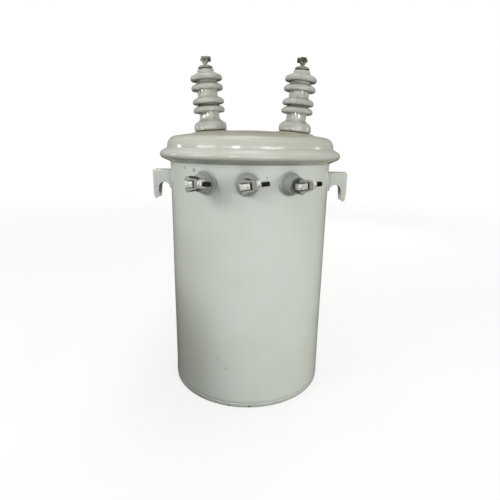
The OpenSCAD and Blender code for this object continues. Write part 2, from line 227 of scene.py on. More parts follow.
class TRANSFORMER_PG_colours(bpy.types.PropertyGroup):
    paint: tint("Paint", "The tank's enamel", (205, 209, 204))
    paint_warm: tint("Aged paint", "The enamel where it has yellowed", (196, 198, 187))
    dust: tint("Dust", "Settled dust on the cover", (150, 140, 116))
    # This colour paints the splashes round the tank's foot, and also painted shade in corners, creases and
    # under the clamp band.
    grime: tint("Grime", "Dirt in the corners", (88, 86, 68))
    glaze: tint("High voltage glaze", "Glaze of the tall bushings", (178, 178, 170))
    lv_glaze: tint("Low voltage glaze", "Glaze of the side bushings", (198, 199, 194))
    rubber: tint("Gaskets", "Gasket rubber", (62, 61, 54))
    casting: tint("Castings", "Tinned cast clamps", (156, 155, 150))
    zinc: tint("Zinc", "Zinc plated steel", (218, 217, 212))
    # A lighter copy of the zinc: painted highlight for the bright faces of the clamp nuts.
    nut_zinc: tint("Nut zinc", "Fresh zinc of the clamp nuts", (244, 244, 241))
    black: tint("Black steel", "Oiled black thread", (40, 36, 32))
    floor: tint("Floor", "The studio's floor", (238, 238, 236))


class TRANSFORMER_PG_stage(bpy.types.PropertyGroup):
    camera_x: amount("Camera X", "Camera's place", 0.0265, unit="LENGTH")
    camera_y: amount("Camera Y", "Camera's place", -1.1843, unit="LENGTH")
    camera_z: amount("Camera Z", "Camera's place", 0.7276, unit="LENGTH")
    pitch: angle("Pitch", "How far the camera looks down", 15.10, 0, 90)
    heading: angle("Heading", "How far the camera turns to the left", 1.06, -180, 180)
    roll: angle("Roll", "How far the camera tilts to the left", 1.01, -45, 45)
    lens: amount("Lens", "Focal length in millimetres", 27.58, min=10)
    room_low: amount("Room, low", "Room light from below", 0.12, min=0)
    room_high: amount("Room, high", "Room light from above", 0.64, min=0)
    key: amount("Key light", "Power of the key light", 42, min=0)
    fill: amount("Fill light", "Power of the fill light", 37, min=0)
    softbox: amount("Softbox", "Power of the overhead softbox", 5, min=0)
    back: amount("Back light", "Power of the light behind", 24, min=0)
    windows: amount("Windows", "Radiance of the far panes", 10, min=0)


GROUPS = {
    "tank": TRANSFORMER_PG_tank,
    "cover": TRANSFORMER_PG_cover,
    "band": TRANSFORMER_PG_band,
    "lug": TRANSFORMER_PG_lug,
    "lv": TRANSFORMER_PG_lv,
    "hv": TRANSFORMER_PG_hv,
    "colours": TRANSFORMER_PG_colours,
    "stage": TRANSFORMER_PG_stage,
}


def settings(group):
    """A group of the sizes or colours above, as it is set now."""
    return getattr(bpy.context.scene, "transformer_" + group)


class Millimetres:
    """Reads a group's lengths in millimetres and its angles in radians."""

    def __init__(self, group):
        self.group = settings(group)

    def __getattr__(self, name):
        value = getattr(self.group, name)
        unit = self.group.bl_rna.properties[name].unit
        return value / MM if unit == "LENGTH" else value


# ---- Shapes, in millimetres ----


def shift(x=0, y=0, z=0):
    return Matrix.Translation((x, y, z))


def turn(degrees, axis):
    return Matrix.Rotation(math.radians(degrees), 4, axis)


def moved(shape, matrix):
    """The same shape in another place; its faces still point outwards after a mirror."""
    bmesh.ops.transform(shape, matrix=matrix, verts=shape.verts)
    if matrix.determinant() < 0:
        bmesh.ops.recalc_face_normals(shape, faces=shape.faces)
    return shape


def arc(x, z, radius, start, end, steps):
    """Corners along an arc, angles in degrees from the across axis."""
    turns = [math.radians(start + (end - start) * i / steps) for i in range(steps + 1)]
    return [(x + radius * math.cos(t), z + radius * math.sin(t)) for t in turns]


def drawn(corners, flat=False, face=False, closed=True, steps=4):
    """A line or face through (across, up, rounding) corners, upright in XZ or flat in XY."""
    shape = bmesh.new()
    verts = [shape.verts.new((c[0], c[1], 0) if flat else (c[0], 0, c[1])) for c in corners]
    if face:
        shape.faces.new(verts)
    else:
        line = verts + verts[:1] if closed else verts
        for pair in zip(line, line[1:]):
            shape.edges.new(pair)
    for vert, corner in zip(verts, corners):
        if len(corner) > 2 and corner[2]:
            bmesh.ops.bevel(
                shape, geom=[vert], offset=corner[2], offset_type="OFFSET", segments=steps, profile=0.5,
                affect="VERTICES", material=-1,
            )
    return shape


def closed_up(shape):
    """Merges doubles, closes holes and turns the faces outwards."""
    bmesh.ops.remove_doubles(shape, verts=shape.verts, dist=MERGE)
    rims = [edge for edge in shape.edges if edge.is_boundary]
    if rims:
        bmesh.ops.holes_fill(shape, edges=rims, sides=0)
    bmesh.ops.recalc_face_normals(shape, faces=shape.faces)
    return shape


def turned(corners, around=96, closed=False, sweep=360, steps=4):
    """A profile of (radius, height, rounding) corners turned about Z; a closed one is a ring's section."""
    shape = drawn(corners, closed=closed, steps=steps)
    bmesh.ops.spin(
        shape, geom=shape.verts[:] + shape.edges[:], cent=(0, 0, 0), axis=(0, 0, 1), dvec=(0, 0, 0),
        angle=math.radians(sweep), steps=around, use_merge=sweep == 360, use_duplicate=False,
    )
    return closed_up(shape)


def carried(shape, grown, vec):
    """Moves the points that an operator has just made."""
    verts = [item for item in grown["geom"] if isinstance(item, bmesh.types.BMVert)]
    bmesh.ops.translate(shape, verts=verts, vec=vec)


def plate(corners, thick, steps=4):
    """A plate with its outline drawn flat in XY, thick from 0 upwards."""
    shape = drawn(corners, flat=True, face=True, steps=steps)
    carried(shape, bmesh.ops.extrude_face_region(shape, geom=shape.faces[:]), (0, 0, thick))
    return closed_up(shape)


def softened(shape, size, segments=2, sharper_than=30):
    """The same shape with its sharp edges rounded."""
    edges = [
        edge for edge in shape.edges
        if edge.is_manifold and edge.calc_face_angle() > math.radians(sharper_than)
    ]
    bmesh.ops.bevel(
        shape, geom=edges, offset=size, offset_type="OFFSET", segments=segments, profile=0.5, affect="EDGES",
        material=-1, clamp_overlap=True, loop_slide=True,
    )
    return shape


def welded(shape):
    """Merges the points of a rounding that had no room to grow."""
    bmesh.ops.remove_doubles(shape, verts=shape.verts, dist=MERGE / 2)
    return shape


def joined(*shapes):
    """Several shapes as one; each stays a closed shell of its own."""
    whole = shapes[0]
    for shape in shapes[1:]:
        mesh = bpy.data.meshes.new("part")
        shape.to_mesh(mesh)
        whole.from_mesh(mesh)
        bpy.data.meshes.remove(mesh)
        shape.free()
    return whole


def loose(shape):
    """A passing object that holds a shape."""
    mesh = bpy.data.meshes.new("passing")
    shape.to_mesh(mesh)
    shape.free()
    obj = bpy.data.objects.new("passing", mesh)
    bpy.context.scene.collection.objects.link(obj)
    return obj


def modified(shape, kind, tool=None, **options):
    """The shape with one modifier applied; a tool is the other shape of a Boolean."""
    passing = [loose(shape)]
    modifier = passing[0].modifiers.new("passing", kind)
    for name, value in options.items():
        setattr(modifier, name, value)
    if tool is not None:
        passing.append(loose(tool))
        modifier.object = passing[1]
    bpy.context.view_layer.update()
    graph = bpy.context.evaluated_depsgraph_get()
    mesh = bpy.data.meshes.new_from_object(passing[0].evaluated_get(graph))
    result = bmesh.new()
    result.from_mesh(mesh)
    bpy.data.meshes.remove(mesh)
    for obj in passing:
        bpy.data.meshes.remove(obj.data)
    return result


def cut(shape, tool, operation="DIFFERENCE"):
    """What is left of a shape after another is cut from it, or what both share."""
    return modified(shape, "BOOLEAN", tool, operation=operation, solver="EXACT")


def rod(radius, low, high, around=48):
    """A plain round rod along Z."""
    return turned([(0, low), (radius, low), (radius, high), (0, high)], around=around)


def thickened(shape, sheet, up):
    """An open sheet made solid inwards; its farthest face along that axis shows which way it faces."""
    bmesh.ops.recalc_face_normals(shape, faces=shape.faces)
    farthest = max(shape.faces, key=lambda face: getattr(face.calc_center_median(), up))
    inwards = -1.0 if getattr(farthest.normal, up) > 0 else 1.0
    return modified(shape, "SOLIDIFY", thickness=sheet, offset=inwards, use_even_offset=True)


def hexagon(across, height, hole=0):
    """A hexagon with both ends chamfered, along Z from 0."""
    corner = across / 2 / math.cos(math.radians(30))
    prism = bmesh.new()
    bmesh.ops.create_cone(prism, cap_ends=True, segments=6, radius1=corner, radius2=corner, depth=height)
    moved(prism, shift(z=height / 2))
    face, drop, past = 0.47 * across, 0.12 * across, corner + 1
    barrel = turned([(0, 0), (face, 0), (past, drop), (past, height - drop), (face, height), (0, height)])
    prism = cut(prism, barrel, "INTERSECT")
    if hole:
        prism = cut(prism, rod(hole / 2, -1, height + 1))
    return welded(softened(prism, 0.35, sharper_than=25))


def thread(diameter, long, pitch, tip=1.4, bare=0):
    """A threaded rod along Z from 0 with a rounded end: a core and one helical ridge."""
    radius = diameter / 2
    root = radius - 0.5 * pitch
    sunk = root - 0.4
    around = 24
    shank = [(radius, 0), (radius, bare), (root, bare)] if bare else [(root, 0)]
    end = [(root, long - tip), (root - tip * 0.4, long, 0.5), (0, long)]
    core = turned([(0, 0)] + shank + end, around=48)
    turns = int((long - bare - tip) / pitch)
    flank = ((sunk, 0), (root, 0.05), (radius, 0.36), (radius, 0.58), (root, 0.9), (sunk, 0.92))
    ridge = drawn([(across, bare + up * pitch) for across, up in flank])
    bmesh.ops.spin(
        ridge, geom=ridge.verts[:] + ridge.edges[:], cent=(0, 0, 0), axis=(0, 0, 1),
        dvec=(0, 0, pitch / around), angle=2 * math.pi * turns, steps=around * turns, use_duplicate=False,
    )
    return joined(core, closed_up(ridge))


def ripples(along, pitch):
    """How full a weld bead is at a place along it."""
    return 0.8 + 0.2 * abs(math.sin(math.pi * along / pitch))


def bead(long, radius, pitch):
    """A straight weld bead along Z from 0, rippled."""
    rows = int(long / pitch * 4)
    body = [(radius * ripples(i * long / rows, pitch), i * long / rows) for i in range(1, rows)]
    return turned([(0, 0)] + body + [(0, long)], around=10)


def ring_bead(ring, radius, pitch):
    """A weld bead round Z at the given radius, rippled."""
    count = int(2 * math.pi * ring / pitch)
    shape = turned(arc(ring, 0, radius, 0, 300, 5), around=count * 3, closed=True)
    for vert in shape.verts:
        around = math.atan2(vert.co.y, vert.co.x) * count / (2 * math.pi) * pitch
        outward = Vector((vert.co.x, vert.co.y, 0)).normalized() * ring
        vert.co = outward + (vert.co - outward) * ripples(around, pitch)
    return shape


def wander(shape, amount, size, low, high, seed):
    """Presses a round shell in by up to the given amount, in broad soft patches."""
    for vert in shape.verts:
        if low < vert.co.z < high:
            place = Vector((vert.co.x, vert.co.y, vert.co.z * 0.7)) / size
            wave = noise.noise(place + Vector((seed, 0, 0)))
            outward = Vector((vert.co.x, vert.co.y, 0))
            fade = min(1, (vert.co.z - low) / 40, (high - vert.co.z) / 40)
            vert.co -= outward.normalized() * amount * (0.5 + wave) * fade
    return shape


def piece(name, shape, finish, nodes=(), weighted=False, smooth_below=35):
    """Makes a finished shape an object that stands for CAD nodes."""
    bmesh.ops.transform(shape, matrix=Matrix.Scale(MM, 4), verts=shape.verts)
    mesh = bpy.data.meshes.new(name)
    shape.to_mesh(mesh)
    shape.free()
    mesh.shade_smooth()
    mesh.set_sharp_from_angle(angle=math.radians(smooth_below))
    mesh.materials.append(finish)
    obj = bpy.data.objects.new(name, mesh)
    bpy.context.scene.collection.objects.link(obj)
    if weighted:
        modifier = obj.modifiers.new("Even shading", "WEIGHTED_NORMAL")
        modifier.keep_sharp = True
    if nodes:
        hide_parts(*nodes)
    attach(obj, BODY)
    return obj


# ---- Finishes ----


class Value:
    """A shader socket: Python's operators on it add Math nodes."""

    def __init__(self, finish, socket):
        self.finish = finish
        self.socket = socket

    def math(self, operation, *terms):
        return self.finish.node("ShaderNodeMath", {"operation": operation}, *terms)

    def __add__(self, other):
        return self.math("ADD", self, other)

    __radd__ = __add__

    def __sub__(self, other):
        return self.math("SUBTRACT", self, other)

    def __rsub__(self, other):
        return self.math("SUBTRACT", other, self)

    def __mul__(self, other):
        return self.math("MULTIPLY", self, other)

    __rmul__ = __mul__

    def between(self, low, high):
        """0 below low, 1 above high, smooth in between; low may be the larger."""
        options = {"interpolation_type": "SMOOTHSTEP", "clamp": True}
        ends = (low, high, 0.0, 1.0) if low < high else (high, low, 1.0, 0.0)
        return self.finish.node("ShaderNodeMapRange", options, self, *ends)


class Finish:
    """A material in the making, on Object coordinates in metres."""

    def __init__(self, name):
        self.material = bpy.data.materials.new(name)
        self.material.use_nodes = True
        self.tree = self.material.node_tree
        self.tree.nodes.clear()
        self.place = self.node("ShaderNodeTexCoord", out="Object")

    def node(self, kind, options=None, *values, out=None, **named):
        """Adds any node: its settings first, then the values or links of its sockets."""
        node = self.tree.nodes.new(kind)
        for name, value in (options or {}).items():
            setattr(node, name, value)
        sockets = [socket for socket in node.inputs if socket.enabled]
        pairs = list(zip(sockets, values))
        for name, value in named.items():
            wanted = name.replace("_", " ")
            pairs.append((next(socket for socket in sockets if socket.name == wanted), value))
        for socket, value in pairs:
            if isinstance(value, Value):
                self.tree.links.new(value.socket, socket)
            elif socket.type == "RGBA" and len(value) == 3:
                socket.default_value = (*value, 1)
            else:
                socket.default_value = value
        shown = [socket for socket in node.outputs if socket.enabled]
        if not shown:
            return node
        return Value(self, next(socket for socket in shown if out in (None, socket.name)))

    def axis(self, name):
        return self.node("ShaderNodeSeparateXYZ", None, self.place, out=name)

    def stretched(self, x, y, z):
        """The place, scaled along each axis."""
        return self.node("ShaderNodeMapping", {"vector_type": "POINT"}, Vector=self.place, Scale=(x, y, z))

    def vector_math(self, operation, place, *terms, out="Vector"):
        """Vector maths on a place."""
        return self.node("ShaderNodeVectorMath", {"operation": operation}, place, *terms, out=out)

    def noise(self, scale, detail=2.0, rough=0.5, place=None, shift=0.0):
        vector = place or self.place
        if shift:
            vector = self.vector_math("ADD", vector, (shift, shift * 0.7, shift * 1.3))
        return self.node("ShaderNodeTexNoise", None, Vector=vector, Scale=scale, Detail=detail,
                         Roughness=rough)

    def cells(self, scale):
        """Distance to the nearest of scattered points."""
        return self.node("ShaderNodeTexVoronoi", {"feature": "F1"}, Vector=self.place, Scale=scale,
                         out="Distance")

    def mix(self, factor, first, second):
        """The second colour over the first, as much as the factor says."""
        options = {"data_type": "RGBA", "blend_type": "MIX", "clamp_factor": True}
        return self.node("ShaderNodeMix", options, Factor=factor, A=first, B=second)

    def bump(self, height, strength, distance, below=None):
        """A relief, its distance in millimetres, over the one below it."""
        named = {"Strength": strength, "Distance": distance * MM, "Height": height}
        if below is not None:
            named["Normal"] = below
        return self.node("ShaderNodeBump", None, **named)

    def crevices(self, reach):
        """1 in tight corners, 0 on open faces."""
        options = {"samples": 8, "only_local": False}
        return 1 - self.node("ShaderNodeAmbientOcclusion", options, Distance=reach * MM, out="AO")

    def spot(self, x, y, z, radius, ragged=0.0):
        """1 inside a small ball round a point in millimetres, 0 outside."""
        far = self.vector_math("DISTANCE", self.place, (x * MM, y * MM, z * MM), out="Value")
        if ragged:
            far = far + (self.noise(160, 3) - 0.5) * (ragged * MM)
        return far.between(radius * MM, radius * 0.7 * MM)

    def done(self, **named):
        """Closes the material with its shader."""
        shader = self.node("ShaderNodeBsdfPrincipled", None, **named)
        self.node("ShaderNodeOutputMaterial", None, shader)
        return self.material


def colour(name, share=1.0):
    """One of the colours above, or a darker or lighter share of it."""
    return scaled(settings("colours").path_resolve(name), share)


def scaled(tone, share):
    """A darker or lighter share of a colour."""
    return tuple(min(1, part * share) for part in tone)


def enamel(name, cover=False, band=False):
    """Sprayed enamel: broad ageing, faint streaks, fine spray texture, and painted shade in the corners and
    on the band's underside.
    """
    f = Finish(name)
    up = f.axis("Z")
    ageing = f.noise(4.2, 3, 0.55).between(0.40, 0.66)
    streaks = f.noise(1.0, 3, 0.6, place=f.stretched(30, 30, 2.6)).between(0.52, 0.80)
    shade = f.mix(ageing * 0.42, colour("paint"), colour("paint_warm"))
    shade = f.mix(streaks * 0.08, shade, colour("paint_warm"))
    drift = f.noise(60, 3, 0.5)
    rough = 0.13 + drift * 0.05
    if cover:
        settled = up.between(0.742, 0.768)
        dusty = settled * 0.55 + up.between(0.690, 0.735) * 0.34 + ageing * 0.06
        shade = f.mix(dusty * (0.8 + f.noise(9, 4) * 0.4), shade, colour("dust"))
        rough = rough + settled * 0.22
    elif band:
        shade = f.mix(0.22 + ageing * 0.08 + f.noise(9, 4) * 0.1, shade, colour("dust"))
        # Painted shade: the band's underside is darkened.
        under = up.between((TANK_TOP - 2) * MM, (TANK_TOP - 15) * MM)
        shade = f.mix(under * 0.5, shade, colour("grime"))
    else:
        splashed = up.between(0.030, 0.0) * (0.06 + f.noise(26, 4).between(0.4, 0.7) * 0.14)
        shade = f.mix(splashed, shade, colour("grime"))
        # Scuffs and dots on the enamel, and at the foot two spots of painted shadow.
        marks_and_shadows = 0
        for x, y, z, radius, ragged, strength in MARKS_AND_SHADOWS:
            marks_and_shadows = marks_and_shadows + f.spot(x, y, z, radius, ragged) * strength
        shade = f.mix(marks_and_shadows, shade, linear(70, 66, 54))
        shade = f.mix(f.spot(-92, -214, 386, 6, 7) * 0.2, shade, linear(196, 178, 92))
    # Painted shade: darker in corners and creases, broadly within 40 mm and most in tight joints.
    shade = f.mix(f.crevices(40).between(0.20, 0.70) * 0.6, shade, colour("grime"))
    shade = f.mix(f.crevices(15).between(0.30, 0.75) * 0.85, shade, linear(56, 54, 41))
    normal = f.bump(f.noise(420, 2, 0.5), 0.05, 0.25, f.bump(drift, 0.06, 0.8))
    return f.done(Base_Color=shade, Roughness=rough, Normal=normal, IOR=1.5, Coat_Weight=0.2,
                  Coat_Roughness=0.1)


def glaze(name, base, seed, corner_shade=0.85, reach=14):
    """Fired glaze: pooled tone, iron specks, faint waviness under a hard gloss, painted shade in its hollows
    and between its sheds.
    """
    f = Finish(name)
    pooled = f.noise(26, 3, 0.55, shift=seed)
    fine = f.noise(140, 3, 0.6, shift=seed)
    specks = f.cells(520).between(0.20, 0.08) * f.noise(80, 2, shift=seed).between(0.60, 0.70)
    shade = f.mix(pooled.between(0.34, 0.70), scaled(base, 0.84), scaled(base, 1.10))
    shade = f.mix(fine.between(0.5, 0.9) * 0.12, shade, colour("dust"))
    shade = f.mix(specks * 0.55, shade, (0.06, 0.05, 0.035))
    # Painted shade: darker between the sheds and in tight corners; the same mask makes the glaze rougher
    # there.
    grime = f.crevices(reach).between(0.34, 0.85)
    shade = f.mix(grime * corner_shade, shade, linear(74, 71, 60))
    rough = 0.05 + fine * 0.05 + grime * 0.2
    return f.done(Base_Color=shade, Roughness=rough, Normal=f.bump(pooled, 0.12, 0.9), IOR=1.52,
                  Coat_Weight=0.6, Coat_Roughness=0.05)


def gasket_rubber(name, overspray=0.0):
    """Dusty rubber with a fine grain; overspray is how much of the tank's enamel lies on it."""
    f = Finish(name)
    dusty = f.noise(48, 4, 0.6).between(0.42, 0.75)
    shade = f.mix(dusty * 0.45, colour("rubber"), colour("dust"))
    if overspray:
        # The enamel lies only on the open faces; the dark rubber left in the creases against the wall and the
        # porcelain is painted shade.
        open_face = f.crevices(1.4).between(0.98, 0.75)
        shade = f.mix(open_face * overspray, shade, colour("paint", 0.9))
    grain = f.bump(f.noise(900, 2), 0.25, 0.2)
    return f.done(Base_Color=shade, Roughness=0.62 + dusty * 0.2, Normal=grain)


def tinned_casting(name, shaded_behind=None):
    """Sand cast metal, tinned and grimy, with painted shade in its corners; nearer the tank's axis than the
    given distance it is darkened as painted shade, leaving the front face bright.
    """
    f = Finish(name)
    grain = f.noise(620, 3, 0.6)
    patches = f.noise(75, 4, 0.6)
    corners = f.crevices(7).between(0.22, 0.85)
    shade = f.mix(patches.between(0.36, 0.68), colour("casting", 0.66), colour("casting"))
    rough = 0.40 + patches * 0.20 + corners * 0.2
    if shaded_behind:
        # Painted shade: the casting is darkened nearer the tank's axis than the given distance, so only its
        # front face keeps its bright tone.
        level = f.vector_math("MULTIPLY", f.place, (1, 1, 0))
        reach = f.vector_math("LENGTH", level, out="Value")
        in_front = reach.between((shaded_behind - 4) * MM, shaded_behind * MM)
        shade = f.mix((1 - in_front) * 0.88, shade, linear(54, 51, 45))
    # Painted shade: near black in the corners.
    shade = f.mix(corners * 0.85, shade, (0.03, 0.028, 0.022))
    return f.done(Base_Color=shade, Metallic=0.55 - corners * 0.3, Roughness=rough,
                  Normal=f.bump(grain, 0.35, 0.35, f.bump(patches, 0.2, 0.7)))


def zinc_plate(name, base):
    """Zinc plated steel: fine drawn lines, a spangle of tone, painted shade in its corners."""
    f = Finish(name)
    lines = f.noise(1.0, 2, 0.5, place=f.stretched(90, 1900, 1900))
    tone = f.noise(110, 3, 0.6)
    corners = f.crevices(5).between(0.4, 1.0)
    shade = f.mix(tone.between(0.35, 0.7), scaled(base, 0.78), base)
    # Painted shade: darker in the corners.
    shade = f.mix(corners * 0.75, shade, (0.05, 0.047, 0.038))
    return f.done(Base_Color=shade, Metallic=0.6, Roughness=0.40 + tone * 0.16 + lines * 0.06,
                  Normal=f.bump(lines, 0.12, 0.12))


def black_steel(name, base):
    """Oiled black steel with brighter worn crests."""
    f = Finish(name)
    tone = f.noise(160, 3, 0.6)
    shade = f.mix(tone.between(0.48, 0.80) * 0.5, base, (0.16, 0.145, 0.12))
    return f.done(Base_Color=shade, Metallic=0.75, Roughness=0.30 + tone * 0.22,
                  Normal=f.bump(tone, 0.15, 0.2))


def core_filling(name):
    """Varnished coils and oil, closed in."""
    f = Finish(name)
    layers = f.noise(1.0, 2, 0.5, place=f.stretched(6, 6, 140))
    shade = f.mix(layers.between(0.4, 0.6), (0.17, 0.105, 0.05), (0.30, 0.20, 0.10))
    return f.done(Base_Color=shade, Roughness=0.45 + layers * 0.2, Normal=f.bump(layers, 0.3, 0.6))


def floor_finish(name, near, far):
    """Pale studio floor that runs out into the bright room, and throws little light back up."""
    f = Finish(name)
    away = f.vector_math("LENGTH", f.place, out="Value").between(near, far)
    shade = f.mix(f.noise(3, 2), colour("floor"), colour("floor", 0.985))
    matt = f.node("ShaderNodeBsdfPrincipled", None, Base_Color=shade, Roughness=0.8)
    bright = f.node("ShaderNodeEmission", None, Color=(1.0, 1.0, 1.0), Strength=1.0)
    dull = f.node("ShaderNodeBsdfDiffuse", None, Color=linear(104, 100, 86))
    seen = f.node("ShaderNodeLightPath", out="Is Camera Ray")
    pale = f.node("ShaderNodeMixShader", None, away * 0.2 + 0.8, matt, bright)
    f.node("ShaderNodeOutputMaterial", None, f.node("ShaderNodeMixShader", None, seen, dull, pale))
    return f.material


def flag_finish(name):
    """Dull olive cloth that keeps the key light off the foot of the object."""
    f = Finish(name)
    shade = f.mix(f.noise(40, 3), linear(96, 96, 82), linear(108, 108, 92))
    return f.done(Base_Color=shade, Roughness=0.9)


FINISHES = {
    "tank_enamel": lambda name: enamel(name),
    "band_enamel": lambda name: enamel(name, band=True),
    "cover_enamel": lambda name: enamel(name, cover=True),
    "hv_glaze_left": lambda name: glaze(name, colour("glaze"), 0.3),
    "hv_glaze_right": lambda name: glaze(name, colour("glaze"), 1.7),
    "lv_glaze": lambda name: glaze(name, colour("lv_glaze"), 2.9, corner_shade=0.75, reach=3),
    "gasket_rubber": lambda name: gasket_rubber(name),
    "painted_seal": lambda name: gasket_rubber(name, 0.86),
    "wiped_casting": lambda name: tinned_casting(name, TANK_R + Millimetres("lv").screw_out + 8),
    "tinned_casting": lambda name: tinned_casting(name),
    "zinc_plate": lambda name: zinc_plate(name, colour("zinc")),
    # The nuts take the lighter copy of the zinc, a painted highlight.
    "fresh_zinc": lambda name: zinc_plate(name, colour("nut_zinc")),
    "black_steel": lambda name: black_steel(name, colour("black")),
    "worn_steel": lambda name: black_steel(name, linear(104, 98, 84)),
    "core_filling": lambda name: core_filling(name),
}


def finish(name):
    """A finish by name, made the first time it is asked for."""
    return bpy.data.materials.get(name) or FINISHES[name](name)


# ---- Places ----


def around_tank(side, size):
    """The turn about the tank's axis that takes the middle bushing to another."""
    return Matrix.Rotation(side * Millimetres("lv").spacing / TANK_R, size, "Z")


def on_wall(side):
    """Front bushings are drawn with X along the wall, Y up and Z outwards from the tank's axis."""
    return around_tank(side, 4) @ shift(z=LV_Z) @ turn(90, "X")


def on_bushing(name):
    """The clamp of a front bushing is turned about it, as far as its screw lies above its axis."""
    side = SIDES[name]
    screw = around_tank(-side, 3) @ middle("lv_screw_" + name)
    return on_wall(side) @ Matrix.Rotation(math.atan2(screw.z - LV_Z, screw.x), 4, "Z")


def lean_of(name):
    """A tall bushing leans the way its cap lies from its gasket."""
    foot, cap = middle("hv_gasket_" + name), middle("hv_cap_" + name)
    return math.atan2(cap.x - foot.x, cap.z - foot.z)


def hv_gasket_t(lean):
    """Thickness of the gasket from the height of its leaning box and its diameter."""
    low, high = low_high("hv_gasket_left")
    across, tall = high.x - low.x, high.z - low.z
    sine, cosine = math.sin(abs(lean)), math.cos(lean)
    return (tall * cosine - across * sine) / (cosine**2 - sine**2)


def on_cover(name):
    """A tall bushing is drawn upright, from the underside of its gasket."""
    lean = lean_of(name)
    tilt = Matrix.Rotation(lean, 4, "Y")
    half = Vector((0, 0, hv_gasket_t(lean) / 2))
    return Matrix.Translation(middle("hv_gasket_" + name) - tilt.to_3x3() @ half) @ tilt


# ---- The pieces ----


class TRANSFORMER_OT_tank(bpy.types.Operator):
    """Adds the rolled tank with its foot weld and seam and the recessed bottom, and finishes the hidden core
    """

    bl_idname = "transformer.tank"
    bl_label = "Tank"

    def execute(self, context):
        mm = Millimetres("tank")
        inner = TANK_R - mm.sheet
        flange = low_high("tank_rim")[0].z
        lip, groove = TANK_R + mm.hem, TANK_R - 0.5
        hem = [(TANK_R, mm.hem_z - 3.2), (groove, mm.hem_z - 2.1, 0.4), (lip, mm.hem_z - 0.8, 0.5),
               (lip, mm.hem_z + 0.8, 0.5), (groove, mm.hem_z + 2.1, 0.4), (TANK_R, mm.hem_z + 3.2)]
        wall = [(TANK_R, 20 + i * (flange - 30) / 32) for i in range(33)]
        rim = [(TANK_R, flange, 3), (RIM_R, flange, 0.8), (RIM_R, TANK_TOP, 0.8), (inner, TANK_TOP)]
        outline = [(inner, 0), (TANK_R, 0, 0.9)] + hem + wall + rim
        shell = wander(turned(outline, around=240, closed=True), mm.sag, 130, 16, flange - 8, 4.0)
        at_seam = turn(SEAM_HEADING, "Z") @ shift(x=TANK_R - 0.9, z=18)
        seam = moved(bead(flange - 26, mm.bead, mm.ripple), at_seam)
        piece("tank_shell", joined(shell, seam), finish("tank_enamel"),
              ["tank_wall", "tank_rim"])

        low, high = low_high("tank_bottom")
        disc = turned([(0, low.z + 1.5), (60, low.z + 1.5, 20), (110, low.z, 20), (high.x, low.z),
                       (high.x, high.z), (0, high.z)], around=120)
        weld = moved(ring_bead(high.x - 0.8, mm.bead + 0.6, mm.ripple), shift(z=low.z + 0.2))
        piece("tank_bottom_plate", joined(disc, weld), finish("tank_enamel"), ["tank_bottom"])

        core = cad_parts["core_and_oil"]
        for slot in core.material_slots:
            slot.material = finish("core_filling")
        return {"FINISHED"}


class TRANSFORMER_OT_cover(bpy.types.Operator):
    """Adds the domed cover with its rim and the two raised seats of the tall bushings"""

    bl_idname = "transformer.cover"
    bl_label = "Cover"

    def execute(self, context):
        mm = Millimetres("cover")
        sheet = Millimetres("tank").sheet
        side = TANK_R + mm.step
        shoulder_x, shoulder_z = side - mm.shoulder, TANK_TOP + mm.side_h
        slope = math.degrees(mm.slope)
        dome = (shoulder_x + mm.shoulder * math.sin(mm.slope)) / math.sin(mm.slope)
        centre = shoulder_z + mm.shoulder * math.cos(mm.slope) - dome * math.cos(mm.slope)
        outside = (arc(shoulder_x, shoulder_z, mm.shoulder, 0, 90 - slope, 14)
                   + arc(0, centre, dome, 90 - slope, 90, 14)[1:])
        inside = (arc(0, centre, dome - sheet, 90, 90 - slope, 14)
                  + arc(shoulder_x, shoulder_z, mm.shoulder - sheet, 90 - slope, 0, 10)[1:])
        outline = ([(side - sheet, TANK_TOP, 0.6), (RIM_R, TANK_TOP, 0.8), (RIM_R, TANK_TOP + sheet, 0.8),
                    (side, TANK_TOP + sheet, 2)] + outside + inside)
        shell = wander(turned(outline, around=240, closed=True), mm.sag, 90, TANK_TOP + 12, 790, 9.0)
        seats = []
        for name in PAIR:
            seat_r = width("hv_porcelain_" + name) / 2 + Millimetres("hv").seat_margin
            skirt_r = seat_r + 7
            seat = turned([(0, 0), (seat_r, 0, 1.2), (seat_r + 1.2, -2.2, 1.4), (skirt_r, -5.4, 2),
                           (skirt_r, -9), (0, -9)], around=120)
            seats.append(moved(seat, on_cover(name)))
        piece("cover_shell", joined(shell, *seats), finish("cover_enamel"), ["cover"])
        return {"FINISHED"}


